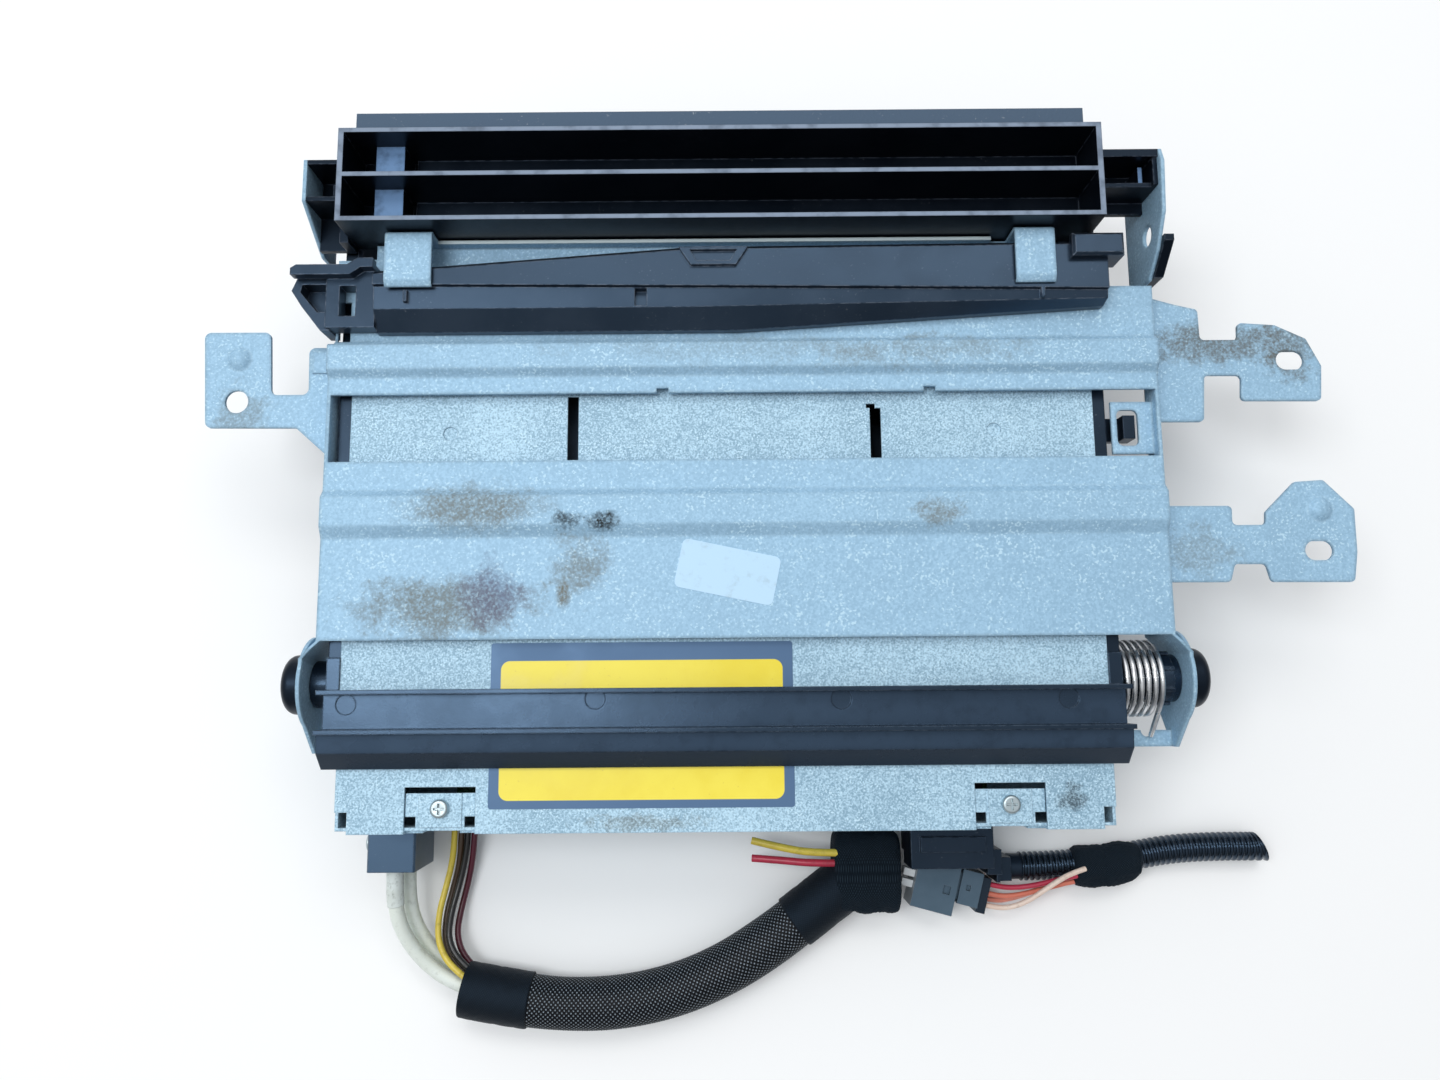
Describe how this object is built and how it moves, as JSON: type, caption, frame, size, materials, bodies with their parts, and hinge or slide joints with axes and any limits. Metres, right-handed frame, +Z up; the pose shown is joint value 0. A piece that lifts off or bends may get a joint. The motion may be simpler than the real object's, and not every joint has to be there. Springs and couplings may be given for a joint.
{
  "type": "multi disc cd changer",
  "caption": "Flat steel-cased disc changer with a hinged zinc mounting bracket on top, an open front frame, a slide-out disc magazine and a cut wiring loom.",
  "frame": {"origin": "centre of the case's bottom face, on the surface it rests on", "axes": "+Z up out of the cover; -Y is the front where the magazine comes out; +X is the end with the single left ear, on the left of the picture"},
  "size_m": [0.3934, 0.3143, 0.085],
  "materials": {
    "case_sheet": "fine-grained zinc coating, satin",
    "zinc_sheet": "zinc-coated sheet with small spangle, satin, stained in places",
    "black_plastic": "moulded, low sheen",
    "grey_plastic": "moulded, matt",
    "inner_plastic": "moulded, matt",
    "tray_plastic": "moulded, matt",
    "bright_steel": "bright, smooth",
    "rubber": "matt",
    "label_yellow": "printed film, plain panel with a dark border",
    "sticker_white": "paper, blank",
    "lens_glass": "clear",
    "board_green": "coated laminate",
    "chip_black": "moulded, matt",
    "lead_white": "soft sheath, slightly soiled",
    "wire_mixed": "soft sheath, one colour for each wire",
    "wire_pink": "soft sheath, one colour for each wire",
    "braid_black": "woven sleeve",
    "sleeve_black": "shrunk sleeve, matt",
    "cloth_tape": "fleece tape",
    "conduit_black": "ribbed, low sheen"
  },
  "bodies": {
    "changer": {"case_base": "case_sheet", "case_top_cover": "case_sheet", "cover_label": "label_yellow", "cover_screws": "bright_steel", "carrier_rail_left": "black_plastic", "carrier_rail_right": "black_plastic", "bezel_frame": "black_plastic", "front_trim": "black_plastic", "bezel_end_blocks": "black_plastic", "side_plate_left": "zinc_sheet", "side_plate_right": "zinc_sheet", "rear_crossbar": "black_plastic", "pivot_pin_left": "black_plastic", "pivot_pin_right": "black_plastic", "drive_chassis": "zinc_sheet", "rubber_dampers": "rubber", "lift_posts": "bright_steel", "lift_motor": "bright_steel", "main_board": "board_green", "board_parts": "chip_black", "signal_jack": "black_plastic", "white_leads": "lead_white", "supply_wires": "wire_mixed", "braided_loom": "braid_black", "cut_wires": "wire_mixed", "signal_wires": "wire_pink", "loom_sleeves": "sleeve_black", "loom_tape": "cloth_tape", "inline_connector": "grey_plastic", "case_plug": "black_plastic", "ribbed_conduit": "conduit_black"},
    "bracket": {"bracket_sheet": "zinc_sheet", "ear_left": "zinc_sheet", "ear_front_right": "zinc_sheet", "ear_rear_right": "zinc_sheet", "latch_hooks": "zinc_sheet", "bracket_sticker": "sticker_white", "torsion_spring": "bright_steel"},
    "latch": {"latch_bar": "black_plastic", "latch_claw": "black_plastic", "latch_tongue": "black_plastic"},
    "eject_button": {"eject_button": "black_plastic"},
    "magazine": {"magazine_shell": "inner_plastic"},
    "tray_1": {"disc_tray_1": "tray_plastic"},
    "tray_2": {"disc_tray_2": "tray_plastic"},
    "tray_3": {"disc_tray_3": "tray_plastic"},
    "tray_4": {"disc_tray_4": "tray_plastic"},
    "tray_5": {"disc_tray_5": "tray_plastic"},
    "tray_6": {"disc_tray_6": "tray_plastic"},
    "lift": {"lift_deck": "inner_plastic", "sled_rods": "bright_steel", "spindle_motor": "bright_steel", "feed_motor": "bright_steel"},
    "lift_screw": {"lift_screw": "bright_steel"},
    "turntable": {"turntable": "inner_plastic"},
    "feed_screw": {"feed_screw": "bright_steel"},
    "sled": {"pickup_sled": "inner_plastic", "pickup_lens": "lens_glass"},
    "clamp_arm": {"clamp_arm": "inner_plastic"},
    "clamp_puck": {"clamp_puck": "inner_plastic"}
  },
  "joints": [
    {"name": "bracket_hinge", "type": "hinge", "parent": "changer", "child": "bracket", "pos_m": [0, 0.048, 0.05], "axis": [-1, 0, 0], "range_deg": [0, 35], "deforming": ["torsion_spring"]},
    {"name": "latch_slide", "type": "slide", "parent": "bracket", "child": "latch", "axis": [1, 0, 0], "range_m": [0, 0.004]},
    {"name": "eject_press", "type": "slide", "parent": "changer", "child": "eject_button", "axis": [0, 1, 0], "range_m": [0, 0.0025], "stiffness_N_per_m": 300},
    {"name": "magazine_slide", "type": "slide", "parent": "changer", "child": "magazine", "axis": [0, -1, 0], "range_m": [0, 0.188]},
    {"name": "tray_1_slide", "type": "slide", "parent": "magazine", "child": "tray_1", "axis": [-1, 0, 0], "range_m": [0, 0.108]},
    {"name": "tray_2_slide", "type": "slide", "parent": "magazine", "child": "tray_2", "axis": [-1, 0, 0], "range_m": [0, 0.108]},
    {"name": "tray_3_slide", "type": "slide", "parent": "magazine", "child": "tray_3", "axis": [-1, 0, 0], "range_m": [0, 0.108]},
    {"name": "tray_4_slide", "type": "slide", "parent": "magazine", "child": "tray_4", "axis": [-1, 0, 0], "range_m": [0, 0.108]},
    {"name": "tray_5_slide", "type": "slide", "parent": "magazine", "child": "tray_5", "axis": [-1, 0, 0], "range_m": [0, 0.108]},
    {"name": "tray_6_slide", "type": "slide", "parent": "magazine", "child": "tray_6", "axis": [-1, 0, 0], "range_m": [0, 0.108]},
    {"name": "lift_slide", "type": "slide", "parent": "changer", "child": "lift", "axis": [0, 0, 1], "range_m": [0, 0.026]},
    {"name": "lift_screw_turn", "type": "hinge", "parent": "changer", "child": "lift_screw", "pos_m": [-0.112, 0.0438, 0.03], "axis": [0, 0, 1], "range_deg": [0, 1440]},
    {"name": "turntable_spin", "type": "hinge", "parent": "lift", "child": "turntable", "pos_m": [-0.0533, -0.0321, 0.02], "axis": [0, 0, 1], "continuous": true},
    {"name": "sled_slide", "type": "slide", "parent": "lift", "child": "sled", "axis": [-1, 0, 0], "range_m": [0, 0.034]},
    {"name": "feed_screw_turn", "type": "hinge", "parent": "lift", "child": "feed_screw", "pos_m": [-0.09, -0.0106, 0.0176], "axis": [1, 0, 0], "range_deg": [0, 1440]},
    {"name": "clamp_lift", "type": "hinge", "parent": "lift", "child": "clamp_arm", "pos_m": [-0.1172, -0.0321, 0.0276], "axis": [0, -1, 0], "range_deg": [0, 3.5]},
    {"name": "puck_spin", "type": "hinge", "parent": "clamp_arm", "child": "clamp_puck", "pos_m": [-0.0533, -0.0321, 0.026], "axis": [0, 0, 1], "continuous": true}
  ],
  "couplings": [
    {"joint": "lift_screw_turn", "follows": "lift_slide", "rad_per_m": 960},
    {"joint": "feed_screw_turn", "follows": "sled_slide", "rad_per_m": 730}
  ]
}
